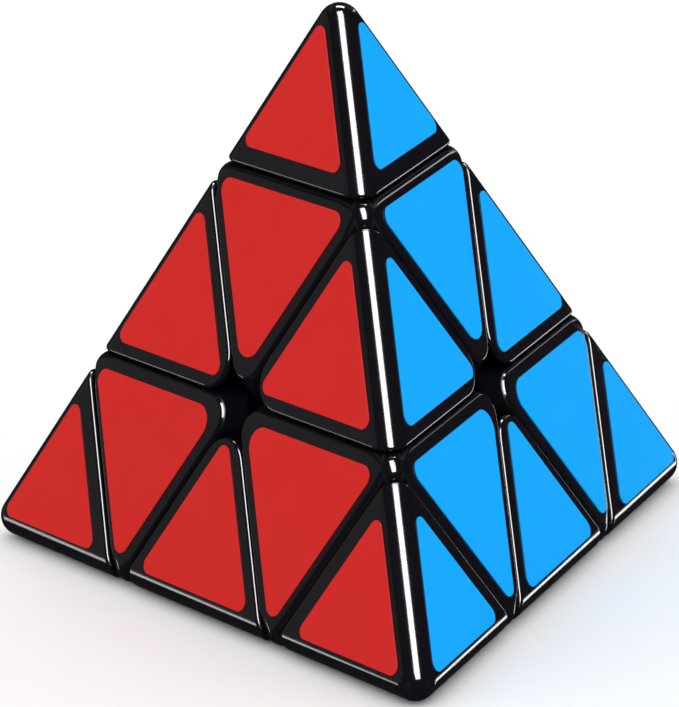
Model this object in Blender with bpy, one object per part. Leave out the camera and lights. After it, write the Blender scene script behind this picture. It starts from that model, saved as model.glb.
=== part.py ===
"""Pyramid twisty puzzle: four layers that turn about its corners, held by sprung screws on an inner core.

The origin is the core's centre, +Z runs up through the top corner, and the front corner points to -Y.
Each kind of piece is modelled once, on the top corner or on the edge from top to front, and is then seated
on the other corners and edges by rotation.
"""

import math
from itertools import combinations

import bmesh
import bpy
import numpy as np
from mathutils import Matrix

MM = 0.001

# Driving dimensions, in millimetres.
SIDE = 105.4  # side of the sharp tetrahedron whose faces are the plastic's four flat faces
OUTER_RADIUS = 2.9  # rounding of the pyramid's outer edges and corners
GAP = 0.3  # clearance between neighbouring pieces
CHANNEL_FILLET = 0.9  # rounding of every edge along a cut
TIP_FILLET = 0.65  # the same round a tip's lower edges
INNER_RADIUS = 3.0  # rounding of the upright edges that meet at each face's centre

WALL = 2.0  # wall left round each hollow
INTO = 1.5  # how far two shapes that are joined run into each other
PAST = 1.0  # how far a cutter runs past what it cuts

STICKER_THICKNESS = 0.15
GLUE_GAP = 0.03
TIP_STICKER = {"outer": 3.87, "cut": 3.04, "corner": 1.2}
AXIAL_STICKER = {"tip": 1.64, "cut": 1.87, "corner": 1.6, "inner_corner": 2.0}
EDGE_STICKER = {"outer": 3.90, "cut": 2.36, "corner": 1.3}

CORE_RADIUS = 9.0
ARM_RADIUS = 3.4
ARM_START = 2.0
ARM_END = 13.5
SCREW_HOLE_RADIUS = 1.6
SCREW_HOLE_BOTTOM = 5.5

FOOT_INNER_RADIUS = 9.35  # the edges' feet and the axials' necks lie between these two spheres
SHELL_RADIUS = 16.0
SHELL_CONE = math.radians(78)  # how far a layer reaches round its corner axis inside the shell
FOOT_REACH_ALONG = math.radians(52)
FOOT_REACH_ACROSS = math.radians(30)
SEAT_REACH = math.radians(95)  # how far an axial's seat goes round the core

WEB_BOTTOM = 13.8
WEB_TOP = 16.3
WEB_HOLE_RADIUS = 1.7
WELL_RADIUS = 4.6
GROOVE_RADIUS = 5.25
GROOVE = (30.9, 32.3)  # the bead of the tip's stem snaps in here
GROOVE_RAMP = 0.5

STEM_RADIUS = 4.3
STEM_BEAD_RADIUS = 4.95
STEM_BEAD_RAMP = 0.6
STEM_BOTTOM = 29.0
STEM_BORE_RADIUS = 3.0
VENT_RADIUS = 1.5  # moulding vents that open each hollow towards the inside
VENT_HEIGHT = 24.0

SCREW_RADIUS = 1.3
SCREW_TIP = 6.0
SCREW_CHAMFER = 0.6
SCREW_HEAD = (24.7, 27.2)
SCREW_HEAD_RADIUS = 3.6
SOCKET_RADIUS = 1.3
SOCKET_DEPTH = 1.3

SPRING_RADIUS = 2.85
SPRING_WIRE_RADIUS = 0.4
SPRING = (16.6, 24.4)
SPRING_TURNS = 4

TURNED_SEGMENTS = 16
HOLE_SEGMENTS = 12
CONE_SEGMENTS = 40
CONE_LENGTH = 20.0
BALL_STEPS = 12
CORE_BALL_STEPS = 9
SEAT_STEPS = 5
STICKER_CORNER_STEPS = 4
SHARP_ANGLE = math.radians(35)

HEIGHT = SIDE * math.sqrt(2 / 3)
FACE_DISTANCE = HEIGHT / 4
FACE_HEIGHT = SIDE * math.sqrt(3) / 2
LAYER_CUT = HEIGHT / 12
TIP_CUT = HEIGHT * 5 / 12

AXIS = {
    "top": np.array((0, 0, 1.0)),
    "front": np.array((0, -math.sqrt(8), -1)) / 3,
    "right": np.array((math.sqrt(6), math.sqrt(2), -1)) / 3,
    "left": np.array((-math.sqrt(6), math.sqrt(2), -1)) / 3,
}
# Each face is named for the corner that it does not touch.
STICKER_COLOUR = {"right": "red", "left": "blue", "front": "green", "top": "yellow"}
EDGES = (
    ("top", "front"),
    ("top", "right"),
    ("top", "left"),
    ("front", "right"),
    ("right", "left"),
    ("left", "front"),
)
FINISHES = {
    "black_plastic": ("1A181D", 0.25, 0.0),
    "core_plastic": ("D8D8D4", 0.4, 0.0),
    "zinc_steel": ("B9BCC0", 0.3, 1.0),
    "spring_steel": ("8E9196", 0.35, 1.0),
    "red": ("CC2D2A", 0.45, 0.0),
    "blue": ("1AABFE", 0.45, 0.0),
    "green": ("1FA84A", 0.45, 0.0),
    "yellow": ("F7D117", 0.45, 0.0),
}


def unit(vector):
    return vector / np.linalg.norm(vector)


def clear_scene():
    for found in list(bpy.data.objects):
        bpy.data.objects.remove(found, do_unlink=True)


def linear(channel):
    return channel / 12.92 if channel <= 0.04045 else ((channel + 0.055) / 1.055) ** 2.4


def finish(name):
    """The named Principled material, made the first time that it is asked for."""
    if name in bpy.data.materials:
        return bpy.data.materials[name]
    colour, roughness, metallic = FINISHES[name]
    material = bpy.data.materials.new(name)
    material.use_nodes = True
    shader = material.node_tree.nodes["Principled BSDF"]
    channels = [linear(int(colour[k : k + 2], 16) / 255) for k in (0, 2, 4)]
    shader.inputs["Base Color"].default_value = (*channels, 1)
    shader.inputs["Roughness"].default_value = roughness
    shader.inputs["Metallic"].default_value = metallic
    return material


# Convex solids: each is the region behind a list of planes, (outward normal, distance from the centre).


def corner_points(planes):
    normals = np.array([normal for normal, _ in planes])
    distances = np.array([distance for _, distance in planes])
    trios = np.array(list(combinations(range(len(planes)), 3)))
    solvable = np.abs(np.linalg.det(normals[trios])) > 1e-6
    trios = trios[solvable]
    points = np.linalg.solve(normals[trios], distances[trios][..., None])[..., 0]
    inside = (points @ normals.T <= distances + 1e-6).all(axis=1)
    return np.unique(np.round(points[inside], 6), axis=0)


def rounding(plane_a, plane_b, radius, count):
    """Planes that touch a round of this radius where two planes meet."""
    (a, distance_a), (b, distance_b) = plane_a, plane_b
    distances = np.array((distance_a, distance_b))
    centre = np.linalg.lstsq(np.array((a, b)), distances - radius, rcond=None)[0]
    angle = math.acos(np.dot(a, b))
    planes = []
    for step in range(1, count + 1):
        share = step / (count + 1)
        normal = math.sin((1 - share) * angle) * a + math.sin(share * angle) * b
        normal = normal / math.sin(angle)
        planes.append((normal, float(normal @ centre) + radius))
    return planes


def hull(points):
    """Bmesh of the convex hull of some points in millimetres."""
    shape = bmesh.new()
    for point in points:
        shape.verts.new(point * MM)
    made = bmesh.ops.convex_hull(shape, input=shape.verts)
    loose = [item for item in made["geom_interior"] if isinstance(item, bmesh.types.BMVert)]
    bmesh.ops.delete(shape, geom=loose, context="VERTS")
    flat = math.radians(0.5)
    bmesh.ops.dissolve_limit(shape, angle_limit=flat, verts=shape.verts, edges=shape.edges)
    return shape


def filleted(planes, radius):
    """Hull of the region behind the planes, with every edge and corner eased by this radius."""
    inset = [(normal, distance - radius) for normal, distance in planes]
    eased = [normal * radius for normal, _ in planes]
    return hull([corner + step for corner in corner_points(inset) for step in eased])


def hollow(planes):
    """Hull of the region behind the planes, pulled in by a wall's thickness."""
    return hull(corner_points([(normal, distance - WALL) for normal, distance in planes]))


def face_plane(opposite):
    return (-AXIS[opposite], FACE_DISTANCE)


def outer_rounds(opposites, count):
    planes = []
    for a, b in combinations(opposites, 2):
        planes += rounding(face_plane(a), face_plane(b), OUTER_RADIUS, count)
    return planes


# Turned solids and cutters, about +Z unless an axis is given.


def turned(profile, segments=TURNED_SEGMENTS, axis="top"):
    """Bmesh of a closed profile of (radius, height) points spun about a corner's axis."""
    shape = bmesh.new()
    turn = np.array(seat_rotation(axis))
    rings = []
    for radius, height in profile:
        if radius == 0:
            rings.append([shape.verts.new(turn @ (0, 0, height * MM))])
            continue
        ring = []
        for k in range(segments):
            angle = 2 * math.pi * (k + 0.5) / segments
            spot = np.array((radius * math.cos(angle), radius * math.sin(angle), height))
            ring.append(shape.verts.new(turn @ spot * MM))
        rings.append(ring)
    for lower, upper in zip(rings, rings[1:] + rings[:1]):
        if len(lower) == len(upper) == 1:
            continue
        for k in range(segments):
            after = (k + 1) % segments
            corners = [lower[k % len(lower)], lower[after % len(lower)]]
            corners += [upper[after % len(upper)], upper[k % len(upper)]]
            shape.faces.new(list(dict.fromkeys(corners)))
    bmesh.ops.recalc_face_normals(shape, faces=shape.faces)
    return shape


def seat_rotation(first, second=None):
    """The rotation that carries the top corner to the first one and the front corner to the second."""
    if second is None:
        second = "front" if first == "top" else "top"
    before = [AXIS["top"], AXIS["front"], np.cross(AXIS["top"], AXIS["front"])]
    after = [AXIS[first], AXIS[second], np.cross(AXIS[first], AXIS[second])]
    return Matrix((np.array(after).T @ np.linalg.inv(np.array(before).T)).tolist())


def rod(start, end, radius, segments=8):
    """Bmesh of a straight round bar between two points."""
    along = unit(end - start)
    side = unit(np.cross(along, AXIS["top"] + 0.3 * AXIS["right"]))
    other = np.cross(along, side)
    points = []
    for k in range(segments):
        angle = 2 * math.pi * k / segments
        out = (math.cos(angle) * side + math.sin(angle) * other) * radius
        points += [start + out, end + out]
    return hull(points)


def layer_reach(corner, grow):
    """What a layer sweeps inside the shell: a wide cone about its axis, grown by a clearance."""
    apex = -grow / math.sin(SHELL_CONE)
    rim = CONE_LENGTH * math.sin(SHELL_CONE)
    rise = apex + CONE_LENGTH * math.cos(SHELL_CONE)
    profile = [(0, apex), (rim, rise), (rim, CONE_LENGTH), (0, CONE_LENGTH)]
    return turned(profile, CONE_SEGMENTS, corner)


def shell_patch(inner, outer, reach_along, reach_across):
    """Block between two spheres, about the middle of the edge from top to front."""
    middle = unit(AXIS["top"] + AXIS["front"])
    across = unit(AXIS["top"] - AXIS["front"])
    along = np.cross(middle, across)
    count_along, count_across = 10, 6
    shape = bmesh.new()

    def sheet(radius):
        rows = []
        for a in np.linspace(-reach_along, reach_along, count_along + 1):
            row = []
            for c in np.linspace(-reach_across, reach_across, count_across + 1):
                spot = math.cos(c) * (math.cos(a) * middle + math.sin(a) * along)
                row.append(shape.verts.new((spot + math.sin(c) * across) * radius * MM))
            rows.append(row)
        return rows

    sheets = sheet(inner), sheet(outer)
    for rows in sheets:
        for row, after in zip(rows, rows[1:]):
            for k in range(count_across):
                shape.faces.new((row[k], row[k + 1], after[k + 1], after[k]))
    rims = []
    for rows in sheets:
        ends = [row[-1] for row in rows[1:-1]]
        starts = [row[0] for row in rows[-2:0:-1]]
        rims.append(rows[0] + ends + rows[-1][::-1] + starts)
    for k in range(len(rims[0])):
        shape.faces.new((rims[0][k - 1], rims[0][k], rims[1][k], rims[1][k - 1]))
    bmesh.ops.recalc_face_normals(shape, faces=shape.faces)
    return shape


# Objects.


def made_object(name, shape, material=None):
    mesh = bpy.data.meshes.new(name)
    shape.to_mesh(mesh)
    shape.free()
    made = bpy.data.objects.new(name, mesh)
    bpy.context.scene.collection.objects.link(made)
    if material:
        mesh.materials.append(finish(material))
    return made


def taken_shape(helper):
    """The helper's mesh as a bmesh; the helper itself is removed."""
    shape = bmesh.new()
    shape.from_mesh(helper.data)
    mesh = helper.data
    bpy.data.objects.remove(helper)
    bpy.data.meshes.remove(mesh)
    return shape


def carve(piece, shape, operation="DIFFERENCE"):
    """Applies one Boolean to the piece's mesh and throws the tool away."""
    tool = made_object("tool", shape)
    modifier = piece.modifiers.new("carve", "BOOLEAN")
    modifier.object = tool
    modifier.operation = operation
    graph = bpy.context.evaluated_depsgraph_get()
    result = bpy.data.meshes.new_from_object(piece.evaluated_get(graph))
    piece.modifiers.remove(modifier)
    before = piece.data
    piece.data = result
    bpy.data.meshes.remove(before)
    taken_shape(tool).free()


def shade(piece):
    piece.data.shade_smooth()
    piece.data.set_sharp_from_angle(angle=SHARP_ANGLE)


def seat_empty(name, first, second=None):
    empty = bpy.data.objects.new(name, None)
    empty.rotation_euler = seat_rotation(first, second).to_euler()
    bpy.context.scene.collection.objects.link(empty)
    return empty


def seat(piece, empty, name):
    """A copy of the piece under its own name, sharing the mesh and riding on the empty."""
    copy = bpy.data.objects.new(name, piece.data)
    copy.parent = empty
    bpy.context.scene.collection.objects.link(copy)
    return copy


# The pieces, each made once.


def core_shape():
    core = made_object("core", ball(CORE_RADIUS, CORE_BALL_STEPS), "core_plastic")
    arm = [(0, ARM_START), (ARM_RADIUS, ARM_START), (ARM_RADIUS, ARM_END), (0, ARM_END)]
    for corner in AXIS:
        carve(core, turned(arm, axis=corner), "UNION")
    hole = [(0, SCREW_HOLE_BOTTOM), (SCREW_HOLE_RADIUS, SCREW_HOLE_BOTTOM)]
    hole += [(SCREW_HOLE_RADIUS, ARM_END + PAST), (0, ARM_END + PAST)]
    for corner in AXIS:
        carve(core, turned(hole, HOLE_SEGMENTS, corner))
    shade(core)
    return core


def ball(radius, steps=BALL_STEPS):
    profile = [
        (radius * math.sin(math.pi * k / steps), -radius * math.cos(math.pi * k / steps))
        for k in range(1, steps)
    ]
    return turned([(0, -radius), *profile, (0, radius)], 2 * steps)


def tip_shape():
    sides = [face_plane(opposite) for opposite in ("front", "right", "left")]
    sides.append((-AXIS["top"], -(TIP_CUT + GAP / 2)))
    rounds = outer_rounds(("front", "right", "left"), 3)
    rounds.append((AXIS["top"], 3 * (FACE_DISTANCE - OUTER_RADIUS) + OUTER_RADIUS))
    tip = made_object("tip", filleted(sides + rounds, TIP_FILLET), "black_plastic")
    low, high = GROOVE[0] + GAP, GROOVE[1] - GAP
    stem = [(0, STEM_BOTTOM), (STEM_RADIUS, STEM_BOTTOM), (STEM_RADIUS, low - STEM_BEAD_RAMP)]
    stem += [(STEM_BEAD_RADIUS, low), (STEM_BEAD_RADIUS, high), (STEM_RADIUS, high + STEM_BEAD_RAMP)]
    stem += [(STEM_RADIUS, TIP_CUT + INTO), (0, TIP_CUT + INTO)]
    carve(tip, turned(stem), "UNION")
    bore_top = TIP_CUT + 2 * WALL
    bore = [(0, STEM_BOTTOM - PAST), (STEM_BORE_RADIUS, STEM_BOTTOM - PAST)]
    bore += [(STEM_BORE_RADIUS, bore_top), (0, bore_top)]
    cavity = made_object("cavity", hollow(sides))
    carve(cavity, turned(bore, HOLE_SEGMENTS), "UNION")
    carve(tip, taken_shape(cavity))
    shade(tip)
    return tip


def axial_shape():
    others = ("front", "right", "left")
    cuts = [(AXIS[corner], LAYER_CUT - GAP / 2) for corner in others]
    sides = [face_plane(opposite) for opposite in others] + cuts
    sides.append((AXIS["top"], TIP_CUT - GAP / 2))
    sides.append((-AXIS["top"], -(LAYER_CUT + GAP / 2)))
    rounds = outer_rounds(others, 1)
    for a, b in combinations(cuts, 2):
        rounds += rounding(a, b, INNER_RADIUS, 2)
    axial = made_object("axial", filleted(sides + rounds, CHANNEL_FILLET), "black_plastic")
    carve(axial, ball(SHELL_RADIUS + GAP / 2))
    carve(axial, turned(neck_profile()), "UNION")
    carve(axial, turned(well_profile()))
    carve(axial, axial_cavity(sides))
    shade(axial)
    return axial


def axial_cavity(sides):
    """The hollow ring between the outer walls, the skirt and the well, with three vents into the well."""
    cavity = made_object("cavity", hollow(sides))
    carve(cavity, ball(SHELL_RADIUS + WALL))
    well_wall = WELL_RADIUS + WALL
    top = TIP_CUT + PAST
    carve(cavity, turned([(0, 0), (well_wall, 0), (well_wall, top), (0, top)]))
    for corner in ("front", "right", "left"):
        out = unit(AXIS[corner] * (1, 1, 0))
        lift = AXIS["top"] * VENT_HEIGHT
        vent = rod(lift + out * (WELL_RADIUS - WALL), lift + out * (well_wall + WALL), VENT_RADIUS)
        carve(cavity, vent, "UNION")
    return taken_shape(cavity)


def neck_profile():
    """The axial's neck, which stays outside the cones that the three other layers sweep."""
    slope = math.acos(-1 / 3) - SHELL_CONE
    low, high, top = FOOT_INNER_RADIUS - WALL, SHELL_RADIUS - INTO, WEB_TOP + WALL

    def reach(height):
        return height * math.tan(slope) - GAP / 2 / math.cos(slope)

    return [(0, low), (reach(low), low), (reach(high), high), (reach(high), top), (0, top)]


def well_profile():
    """The axial's inside: the seat round the core, the arm's bore, the web, the well and its groove."""
    bore = ARM_RADIUS + GAP
    arm_reach = math.asin(bore / FOOT_INNER_RADIUS)
    seat_arc = []
    for angle in np.linspace(SEAT_REACH, arm_reach, SEAT_STEPS + 1):
        seat_arc.append((FOOT_INNER_RADIUS * math.sin(angle), FOOT_INNER_RADIUS * math.cos(angle)))
    low, high = GROOVE
    profile = [(0, seat_arc[0][1]), *seat_arc, (bore, WEB_BOTTOM), (WEB_HOLE_RADIUS, WEB_BOTTOM)]
    profile += [(WEB_HOLE_RADIUS, WEB_TOP), (WELL_RADIUS, WEB_TOP), (WELL_RADIUS, low - GROOVE_RAMP)]
    profile += [(GROOVE_RADIUS, low), (GROOVE_RADIUS, high), (WELL_RADIUS, high + GROOVE_RAMP)]
    profile += [(WELL_RADIUS, TIP_CUT + PAST), (0, TIP_CUT + PAST)]
    return profile


def edge_shape():
    outer = ("right", "left")
    cuts = [(-AXIS[corner], -(LAYER_CUT + GAP / 2)) for corner in ("top", "front")]
    sides = [face_plane(opposite) for opposite in outer] + cuts
    rounds = outer_rounds(outer, 3) + rounding(*cuts, INNER_RADIUS, 2)
    edge = made_object("edge", filleted(sides + rounds, CHANNEL_FILLET), "black_plastic")
    carve(edge, foot_shape(), "UNION")
    carve(edge, hollow(sides))
    middle = unit(AXIS["top"] + AXIS["front"])
    vent_start, vent_end = FOOT_INNER_RADIUS - PAST, SHELL_RADIUS + 2 * WALL
    carve(edge, rod(middle * vent_start, middle * vent_end, VENT_RADIUS))
    shade(edge)
    return edge


def foot_shape():
    """The foot that the neighbouring axials hold down, between the core and the axials' skirts."""
    outer_radius = SHELL_RADIUS - GAP / 2
    block = shell_patch(FOOT_INNER_RADIUS, outer_radius, FOOT_REACH_ALONG, FOOT_REACH_ACROSS)
    foot = made_object("foot", block)
    for corner in ("top", "front"):
        carve(foot, layer_reach(corner, -GAP / 2), "INTERSECT")
    for corner in ("right", "left"):
        carve(foot, layer_reach(corner, GAP / 2))
    return taken_shape(foot)


def screw_shape():
    bottom, top = SCREW_HEAD
    point_radius, rim_radius = SCREW_RADIUS - SCREW_CHAMFER, SCREW_HEAD_RADIUS - SCREW_CHAMFER
    profile = [(0, SCREW_TIP), (point_radius, SCREW_TIP), (SCREW_RADIUS, SCREW_TIP + SCREW_CHAMFER)]
    profile += [(SCREW_RADIUS, bottom), (SCREW_HEAD_RADIUS, bottom)]
    profile += [(SCREW_HEAD_RADIUS, top - SCREW_CHAMFER), (rim_radius, top)]
    profile += [(SOCKET_RADIUS, top), (SOCKET_RADIUS, top - SOCKET_DEPTH), (0, top - SOCKET_DEPTH)]
    screw = made_object("screw", turned(profile, HOLE_SEGMENTS), "zinc_steel")
    shade(screw)
    return screw


def spring_shape():
    """A round wire wound up the screw's shank, with flat closed ends."""
    sides, per_turn = 6, 8
    low, high = (end + step for end, step in zip(SPRING, (SPRING_WIRE_RADIUS, -SPRING_WIRE_RADIUS)))
    shape = bmesh.new()
    rings = []
    for k in range(SPRING_TURNS * per_turn + 1):
        angle = 2 * math.pi * k / per_turn
        rise = low + (high - low) * k / (SPRING_TURNS * per_turn)
        out = np.array((math.cos(angle), math.sin(angle), 0))
        ring = []
        for side in range(sides):
            turn = 2 * math.pi * side / sides
            spot = out * (SPRING_RADIUS + SPRING_WIRE_RADIUS * math.cos(turn))
            spot[2] = rise + SPRING_WIRE_RADIUS * math.sin(turn)
            ring.append(shape.verts.new(spot * MM))
        rings.append(ring)
    for before, after in zip(rings, rings[1:]):
        for side in range(sides):
            shape.faces.new((before[side - 1], before[side], after[side], after[side - 1]))
    shape.faces.new(rings[0])
    shape.faces.new(rings[-1])
    bmesh.ops.recalc_face_normals(shape, faces=shape.faces)
    spring = made_object("spring", shape, "spring_steel")
    shade(spring)
    return spring


# Stickers: a rounded triangle on one face, between three lines given as (direction corner, sign, distance).


def sticker_shape(opposite, lines, radii):
    normal = -AXIS[opposite]
    towards = {}
    for corner in AXIS:
        if corner != opposite:
            towards[corner] = unit(AXIS[corner] - normal * (AXIS[corner] @ normal))
    sides = [(sign * towards[corner], sign * distance) for corner, sign, distance in lines]
    low = FACE_DISTANCE + GLUE_GAP
    points = []
    for (first, second), radius in zip(combinations(range(3), 2), radii):
        (a, distance_a), (b, distance_b) = sides[first], sides[second]
        frame = np.array((a, b, normal))
        centre = np.linalg.solve(frame, (distance_a - radius, distance_b - radius, low))
        angle = math.acos(a @ b)
        for share in np.linspace(0, 1, STICKER_CORNER_STEPS + 1):
            out = math.sin((1 - share) * angle) * a + math.sin(share * angle) * b
            point = centre + out / math.sin(angle) * radius
            points += [point, point + normal * STICKER_THICKNESS]
    return hull(points)


def tip_sticker(opposite):
    rest = [corner for corner in AXIS if corner not in ("top", opposite)]
    third = FACE_HEIGHT / 3
    lines = [("top", -1, third + TIP_STICKER["cut"])]
    lines += [(corner, -1, -third + TIP_STICKER["outer"]) for corner in rest]
    return sticker_shape(opposite, lines, [TIP_STICKER["corner"]] * 3)


def axial_sticker(opposite):
    rest = [corner for corner in AXIS if corner not in ("top", opposite)]
    lines = [("top", 1, FACE_HEIGHT / 3 - AXIAL_STICKER["tip"])]
    lines += [(corner, 1, -AXIAL_STICKER["cut"]) for corner in rest]
    corner = AXIAL_STICKER["corner"]
    return sticker_shape(opposite, lines, [corner, corner, AXIAL_STICKER["inner_corner"]])


def edge_sticker(opposite):
    third_corner = "left" if opposite == "right" else "right"
    lines = [(corner, -1, EDGE_STICKER["cut"]) for corner in ("top", "front")]
    lines.append((third_corner, -1, -FACE_HEIGHT / 3 + EDGE_STICKER["outer"]))
    return sticker_shape(opposite, lines, [EDGE_STICKER["corner"]] * 3)


def seat_stickers(kind, empty, name, opposites, shape_of):
    """One sticker on each of the piece's outer faces, coloured for the face that it is seated on."""
    turn = np.array(empty.rotation_euler.to_matrix())
    for opposite in opposites:
        seated = max(AXIS, key=lambda corner: AXIS[corner] @ (turn @ AXIS[opposite]))
        colour = STICKER_COLOUR[seated]
        sticker = made_object(f"{colour}_{kind}_{name}", shape_of(opposite), colour)
        sticker.parent = empty


def build_corners():
    makers = {"axial": axial_shape, "tip": tip_shape, "screw": screw_shape, "spring": spring_shape}
    patterns = {kind: make() for kind, make in makers.items()}
    for corner in AXIS:
        empty = seat_empty(f"axis_{corner}", corner)
        for kind, pattern in patterns.items():
            seat(pattern, empty, f"{kind}_{corner}")
        seat_stickers("tip", empty, corner, ("front", "right", "left"), tip_sticker)
        seat_stickers("axial", empty, corner, ("front", "right", "left"), axial_sticker)
    for pattern in patterns.values():
        bpy.data.objects.remove(pattern)


def build_edges():
    pattern = edge_shape()
    for first, second in EDGES:
        empty = seat_empty(f"edge_seat_{first}_{second}", first, second)
        seat(pattern, empty, f"edge_{first}_{second}")
        seat_stickers("edge", empty, f"{first}_{second}", ("right", "left"), edge_sticker)
    bpy.data.objects.remove(pattern)


def main():
    clear_scene()
    core_shape()
    build_corners()
    build_edges()


main()
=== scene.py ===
"""Pyramid twisty puzzle: the finished plastic, stickers, core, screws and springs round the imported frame.

The origin is the core's centre, +Z runs up through the top corner, and the front corner points to -Y.
Each kind of piece is shaped once, about the top corner or about the edge from top to front, and is
then seated on the other corners and edges by rotation.
"""

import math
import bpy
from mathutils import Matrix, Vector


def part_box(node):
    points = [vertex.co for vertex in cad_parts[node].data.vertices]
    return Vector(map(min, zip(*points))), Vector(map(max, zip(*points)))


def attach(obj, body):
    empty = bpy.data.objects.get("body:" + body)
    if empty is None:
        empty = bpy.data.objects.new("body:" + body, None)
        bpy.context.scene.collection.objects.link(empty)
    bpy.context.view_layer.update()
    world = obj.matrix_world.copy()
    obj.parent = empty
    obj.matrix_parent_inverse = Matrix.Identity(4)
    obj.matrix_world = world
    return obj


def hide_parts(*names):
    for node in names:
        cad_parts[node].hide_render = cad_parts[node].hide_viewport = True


bl_info = {
    "name": "Pyramid Twisty Puzzle",
    "version": (1, 0, 0),
    "blender": (4, 5, 0),
    "location": "3D View > Sidebar > Puzzle",
    "description": "Builds a pyramid twisty puzzle's mouldings, stickers and sprung core, and its studio",
    "category": "Mesh",
}

from itertools import combinations

import bmesh
import bpy
import numpy as np
from mathutils import Matrix, Vector

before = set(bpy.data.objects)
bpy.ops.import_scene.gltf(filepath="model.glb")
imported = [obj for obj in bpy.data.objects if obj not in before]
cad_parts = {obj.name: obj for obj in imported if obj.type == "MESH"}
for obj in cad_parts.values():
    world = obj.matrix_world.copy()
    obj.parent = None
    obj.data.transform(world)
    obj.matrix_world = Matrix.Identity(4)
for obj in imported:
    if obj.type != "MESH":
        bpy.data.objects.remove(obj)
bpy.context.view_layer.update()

MM = 0.001

# Sizes below are in millimetres. The pyramid's own size comes from the frame.
GLUE_GAP = 0.03
STICKER_TOP = -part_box("yellow_axial_front")[0].z / MM
STICKER_BOTTOM = -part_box("yellow_axial_front")[1].z / MM
FACE_DISTANCE = STICKER_BOTTOM - GLUE_GAP
HEIGHT = 4 * FACE_DISTANCE
FACE_HEIGHT = HEIGHT * math.sqrt(9 / 8)
# The cuts divide each height into equal thirds, and the centre is a quarter of the height above a face.
LAYER_CUT = HEIGHT / 12
TIP_CUT = HEIGHT * 5 / 12
GAP = 0.3

# How far each side of a sticker lies inside the pyramid's sharp edge or the line of a cut, and the radii of
# its corners.
TIP_STICKER = {"outer": 3.87, "cut": 3.04, "corner": 1.2}
AXIAL_STICKER = {"tip": 1.64, "cut": 1.87, "corner": 1.6, "inner_corner": 2.5}
EDGE_STICKER = {"outer": 3.90, "cut": 2.36, "corner": 1.3}

OVERSHOOT = 1.0  # how far a cutting shape runs past the surface that it cuts

CORE_RADIUS = 9.0
ARM_RADIUS = 3.4
ARM_ROOT_RADIUS, ARM_ROOT_BOTTOM = 4.3, 2.0
ARM_END = 13.5
ARM_CHAMFER = 0.4
ARM_FLARE = 1.5
ARM_FLARE_TOP = 10.2
ARM_FLARE_ANGLES = (215, 270)
SCREW_HOLE_RADIUS = 1.6
SCREW_HOLE_BOTTOM = 5.5

FOOT_INNER_RADIUS = 9.35
# Half of what the foot spans along its edge and across, before the layers' sweeps shape it.
FOOT_ANGLES = (math.radians(52), math.radians(30))
FOOT_STEPS = (30, 18)
SHELL_RADIUS = 16.0
SHELL_CONE = math.radians(78)
SWEEP_RADIUS = 20.0  # more than the shell's, so that a layer's sweep crosses all of it

WEB_BOTTOM, WEB_TOP = 13.8, 16.3
WEB_HOLE_RADIUS = 1.7
NECK_BOTTOM = FOOT_INNER_RADIUS - 2
NECK_SHOULDER = SHELL_RADIUS - 1.5
NECK_TOP = WEB_TOP + 2
SEAT_ANGLE = 95
WELL_RADIUS = 4.6
WELL_MOUTH_CHAMFER = 0.7
GROOVE_RADIUS = 5.25
GROOVE_LOW, GROOVE_HIGH = 30.9, 32.3
GROOVE_RAMP = 0.5

BUMP_REACH = 2.6  # from an axial's corner to where its edges' own rounding starts

STEM_RADIUS = 4.3
STEM_CHAMFER = 0.5
STEM_BEAD_RADIUS = 4.95
STEM_BEAD_RAMP = 0.6
STEM_BOTTOM, STEM_TOP = 29.0, TIP_CUT + 1.5
STEM_BORE_RADIUS = 3.0
STEM_BORE_TOP = TIP_CUT + 6
STEM_BORE_POINT = 1.5

SCREW_RADIUS = 1.3
SCREW_THREAD_DEPTH = 0.22
SCREW_THREAD_SHARPNESS = 1.4
SCREW_PITCH = 0.9
SCREW_TIP = 6.0
SCREW_TIP_CHAMFER = 0.5
SCREW_THREAD_TOP = ARM_END + 1
SCREW_HEAD_RADIUS = 2.7
SCREW_HEAD_ROUNDING = 0.9
SCREW_HEAD_HIGH = 27.2
SLOT_HALF_LENGTH, SLOT_HALF_WIDTH = 1.5, 0.32
SLOT_LEAD, SLOT_DEPTH = 0.2, 1.3
SLOT_TAPER = (0.45, 0.8)  # the slot's bottom, as shares of the size at its top
WASHER_RADIUS = 3.6
WASHER_THICKNESS = 0.6
WASHER_CHAMFER = 0.1
WASHER_LOW = 24.7

SPRING_RADIUS = 2.85
SPRING_WIRE_RADIUS = 0.4
SPRING_LOW, SPRING_HIGH = 16.6, 24.4
SPRING_TURNS = 5.5
SPRING_CLOSED_PITCH = 0.86

# A moulding's surface turns from polished to matt between two depths below the nearest outer face, and
# only where it also lies this far below the next one, so that the rounded outer edges stay polished.
MATT_DEPTH = (0.3, 0.6)
MATT_EDGE_DEPTH = (2.2, 2.8)

MOTTLING_RANGE = (0.3, 0.7)  # what nearly all of a noise's values lie between

AXIS = {
    "top": np.array((0, 0, 1.0)),
    "front": np.array((0, -math.sqrt(8), -1)) / 3,
    "right": np.array((math.sqrt(6), math.sqrt(2), -1)) / 3,
    "left": np.array((-math.sqrt(6), math.sqrt(2), -1)) / 3,
}
LOWER_CORNERS = ("front", "right", "left")
# Each face is named for the corner that it does not touch.
FACE_COLOUR = {"right": "red", "left": "blue", "front": "green", "top": "yellow"}
EDGES = (
    ("top", "front"),
    ("top", "right"),
    ("top", "left"),
    ("front", "right"),
    ("right", "left"),
    ("left", "front"),
)


def hex_colour(code):
    """Linear RGBA of an sRGB hex colour such as #1A181D."""
    channels = [int(code[k : k + 2], 16) / 255 for k in (1, 3, 5)]
    return [c / 12.92 if c <= 0.04045 else ((c + 0.055) / 1.055) ** 2.4 for c in channels] + [1.0]


# What a user may change.


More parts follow.
